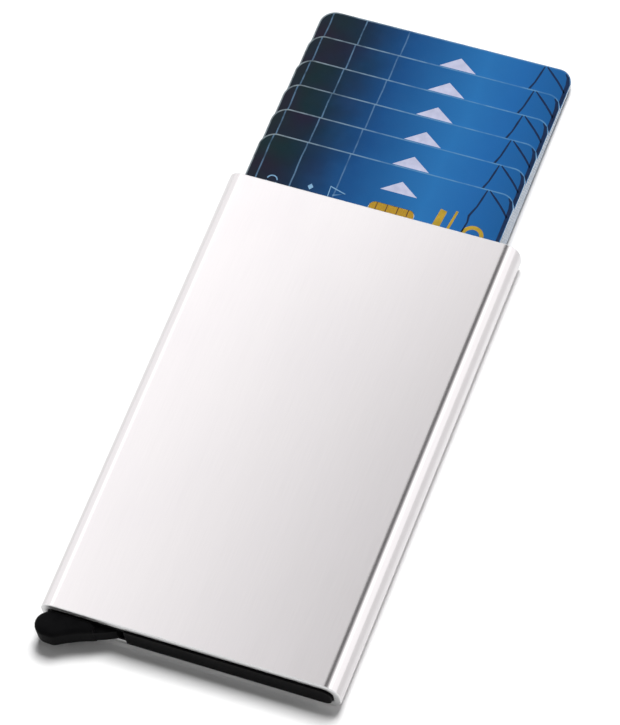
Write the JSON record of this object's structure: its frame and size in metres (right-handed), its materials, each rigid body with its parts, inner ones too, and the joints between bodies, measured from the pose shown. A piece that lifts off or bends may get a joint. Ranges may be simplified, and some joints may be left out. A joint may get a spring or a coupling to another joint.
{
  "type": "minimalist wallet",
  "caption": "Slim metal card wallet: a rounded sleeve with a black base and a corner lever that fans the cards out of its open end.",
  "frame": {"origin": "centre of the case's flat back face", "axes": "+Z out of the case's front face, +Y along the case towards the mouth that the cards come out of, +X to the right as seen from the front with the mouth up"},
  "size_m": [0.0616, 0.1486, 0.008],
  "materials": {
    "case_aluminium": "satin anodised, very fine lengthwise grain",
    "black_plastic": "fine moulded texture, worn smooth at the edges",
    "steel": "drawn wire, ground pin and rolled strip",
    "card_print": "blue print under a smooth laminate, pale cut edges",
    "chip_gold": "gold-plated contact plate"
  },
  "bodies": {
    "case": {"case_sleeve": "case_aluminium", "base_frame": "black_plastic", "base_cover": "black_plastic", "pivot_pin": "steel", "lever_spring": "steel", "guide_rail_left": "black_plastic", "guide_rail_right": "black_plastic", "friction_spring": "steel"},
    "lever": {"trigger_lever": "black_plastic"},
    "card_1": {"card_1": "card_print", "chip_1": "chip_gold"},
    "card_2": {"card_2": "card_print", "chip_2": "chip_gold"},
    "card_3": {"card_3": "card_print", "chip_3": "chip_gold"},
    "card_4": {"card_4": "card_print", "chip_4": "chip_gold"},
    "card_5": {"card_5": "card_print", "chip_5": "chip_gold"},
    "card_6": {"card_6": "card_print", "chip_6": "chip_gold"}
  },
  "joints": [
    {"name": "lever_pivot", "type": "hinge", "parent": "case", "child": "lever", "pos_m": [-0.0175, -0.0465, 0.004], "axis": [0, 0, 1], "range_deg": [0, 60], "stiffness_Nm_per_rad": 0.008, "springref_deg": -45.84, "deforming": ["lever_spring"]},
    {"name": "card_1_slide", "type": "slide", "parent": "case", "child": "card_1", "axis": [0, 1, 0], "range_m": [-0.0124, 0.0642]},
    {"name": "card_2_slide", "type": "slide", "parent": "case", "child": "card_2", "axis": [0, 1, 0], "range_m": [-0.01887, 0.05773]},
    {"name": "card_3_slide", "type": "slide", "parent": "case", "child": "card_3", "axis": [0, 1, 0], "range_m": [-0.02534, 0.05126]},
    {"name": "card_4_slide", "type": "slide", "parent": "case", "child": "card_4", "axis": [0, 1, 0], "range_m": [-0.03181, 0.04479]},
    {"name": "card_5_slide", "type": "slide", "parent": "case", "child": "card_5", "axis": [0, 1, 0], "range_m": [-0.03828, 0.03832]},
    {"name": "card_6_slide", "type": "slide", "parent": "case", "child": "card_6", "axis": [0, 1, 0], "range_m": [-0.04475, 0.03185]}
  ]
}
